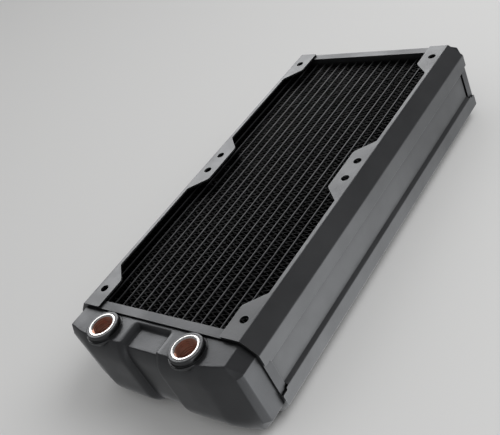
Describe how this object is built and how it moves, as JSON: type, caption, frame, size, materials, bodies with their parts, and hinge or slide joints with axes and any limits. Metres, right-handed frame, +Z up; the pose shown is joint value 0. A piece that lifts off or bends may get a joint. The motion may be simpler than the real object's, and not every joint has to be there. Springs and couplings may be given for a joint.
{
  "type": "liquid cooling radiator",
  "caption": "Thick liquid cooling radiator for computer fans, with folded side frames, finned flat-tube core, lobed port tank and threaded top ports.",
  "frame": {"origin": "centre of the fan-hole pattern, on the underside of the bottom flanges", "axes": "+X across the width, +Y along the length away from the ports, +Z up towards the port face"},
  "size_m": [0.133, 0.279, 0.0546],
  "materials": {
    "powder_coat": "fine satin charcoal-black powder coat on formed sheet, slightly polished on the bend lines",
    "core_plate_paint": "thin matte black paint on the hidden core side plates",
    "tube_paint": "satin grey-black paint on flat brass tubes",
    "fin_paint": "matte black paint on thin corrugated copper fins",
    "port_copper": "copper-coloured threaded bushing, its outer rim face machined bright",
    "bare_brass": "unpainted brass sheet inside the tank"
  },
  "bodies": {
    "root": {"left_side_frame": "powder_coat", "right_side_frame": "powder_coat", "supply_header_plate": "powder_coat", "return_header_plate": "powder_coat", "supply_tank": "powder_coat", "return_tank": "powder_coat", "flow_divider": "bare_brass", "inlet_port_collar": "powder_coat", "outlet_port_collar": "powder_coat", "inlet_port_bushing": "port_copper", "outlet_port_bushing": "port_copper", "left_core_plate": "core_plate_paint", "right_core_plate": "core_plate_paint", "water_tube_01": "tube_paint", "water_tube_02": "tube_paint", "water_tube_03": "tube_paint", "water_tube_04": "tube_paint", "water_tube_05": "tube_paint", "water_tube_06": "tube_paint", "water_tube_07": "tube_paint", "water_tube_08": "tube_paint", "water_tube_09": "tube_paint", "water_tube_10": "tube_paint", "water_tube_11": "tube_paint", "water_tube_12": "tube_paint", "water_tube_13": "tube_paint", "water_tube_14": "tube_paint", "water_tube_15": "tube_paint", "water_tube_16": "tube_paint", "water_tube_17": "tube_paint", "water_tube_18": "tube_paint", "fin_strip_01": "fin_paint", "fin_strip_02": "fin_paint", "fin_strip_03": "fin_paint", "fin_strip_04": "fin_paint", "fin_strip_05": "fin_paint", "fin_strip_06": "fin_paint", "fin_strip_07": "fin_paint", "fin_strip_08": "fin_paint", "fin_strip_09": "fin_paint", "fin_strip_10": "fin_paint", "fin_strip_11": "fin_paint", "fin_strip_12": "fin_paint", "fin_strip_13": "fin_paint", "fin_strip_14": "fin_paint", "fin_strip_15": "fin_paint", "fin_strip_16": "fin_paint", "fin_strip_17": "fin_paint", "fin_strip_18": "fin_paint", "fin_strip_19": "fin_paint"}
  },
  "joints": []
}
